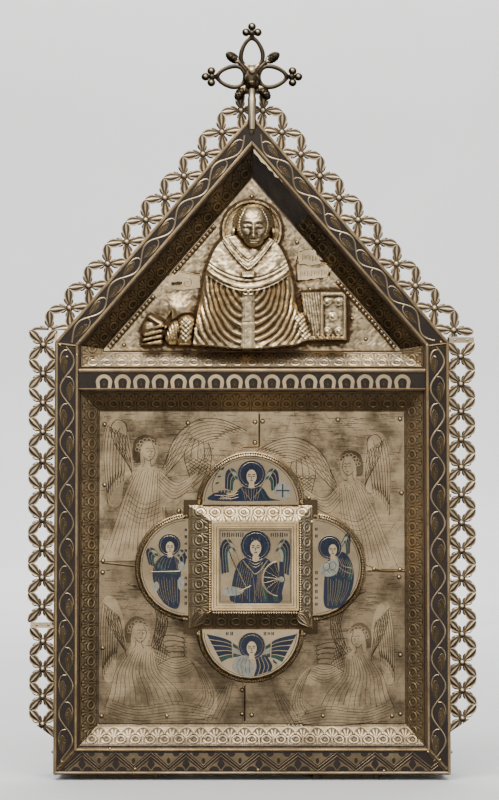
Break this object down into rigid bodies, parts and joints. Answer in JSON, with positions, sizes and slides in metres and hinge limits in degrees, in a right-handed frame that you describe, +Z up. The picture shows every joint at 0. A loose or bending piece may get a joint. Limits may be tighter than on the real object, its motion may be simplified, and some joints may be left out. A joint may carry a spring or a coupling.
{
  "type": "gable-shaped reliquary",
  "caption": "Upright gable-shaped reliquary: hollow wooden case sheathed in gilt metal, with a hammered bust, enamels, open cresting and a cross on top.",
  "frame": {"origin": "centre of the base, on the plane that the feet stand on", "axes": "+Z up, +X to the right seen from the front, and the decorated front faces -Y"},
  "size_m": [0.3264, 0.0596, 0.5544],
  "materials": {
    "oak": "dark aged oak, waxed",
    "gilt_copper": "fire-gilt copper sheet, hammered, engraved and worn",
    "brown_varnish": "dark brown varnish on copper with gilt drawing and gilt fillets",
    "stamped_foil": "thin gilt foil stamped with circles and palmettes, darkened in the hollows",
    "enamel": "dark blue and green enamel on a gilt ground"
  },
  "bodies": {
    "root": {"wooden_case": "oak", "back_board": "oak", "foot_left": "oak", "foot_right": "oak", "centre_core": "oak", "border_base": "brown_varnish", "border_right": "brown_varnish", "border_gable_right": "brown_varnish", "border_gable_left": "brown_varnish", "border_left": "brown_varnish", "crossbar": "brown_varnish", "foil_field_base": "stamped_foil", "foil_field_right": "stamped_foil", "foil_field_top": "stamped_foil", "foil_field_left": "stamped_foil", "foil_gable_sill": "stamped_foil", "foil_gable_right_end": "stamped_foil", "foil_gable_right": "stamped_foil", "foil_gable_left": "stamped_foil", "foil_gable_left_end": "stamped_foil", "centre_block": "stamped_foil", "foil_centre_base": "stamped_foil", "foil_centre_right": "stamped_foil", "foil_centre_top": "stamped_foil", "foil_centre_left": "stamped_foil", "pad_base": "stamped_foil", "pad_right": "stamped_foil", "pad_top": "stamped_foil", "pad_left": "stamped_foil", "plate_upper_left": "gilt_copper", "plate_upper_right": "gilt_copper", "plate_lower_left": "gilt_copper", "plate_lower_right": "gilt_copper", "bust_plate": "gilt_copper", "beads_left_upper": "gilt_copper", "beads_left_lower": "gilt_copper", "beads_right": "gilt_copper", "centre_moulding": "gilt_copper", "enamel_centre": "enamel", "enamel_base": "enamel", "enamel_right": "enamel", "enamel_top": "enamel", "enamel_left": "enamel", "cresting_left": "gilt_copper", "cresting_left_lower": "gilt_copper", "cresting_right": "gilt_copper", "cresting_gable_left": "gilt_copper", "cresting_gable_right": "gilt_copper", "finial_cross": "gilt_copper"}
  },
  "joints": []
}
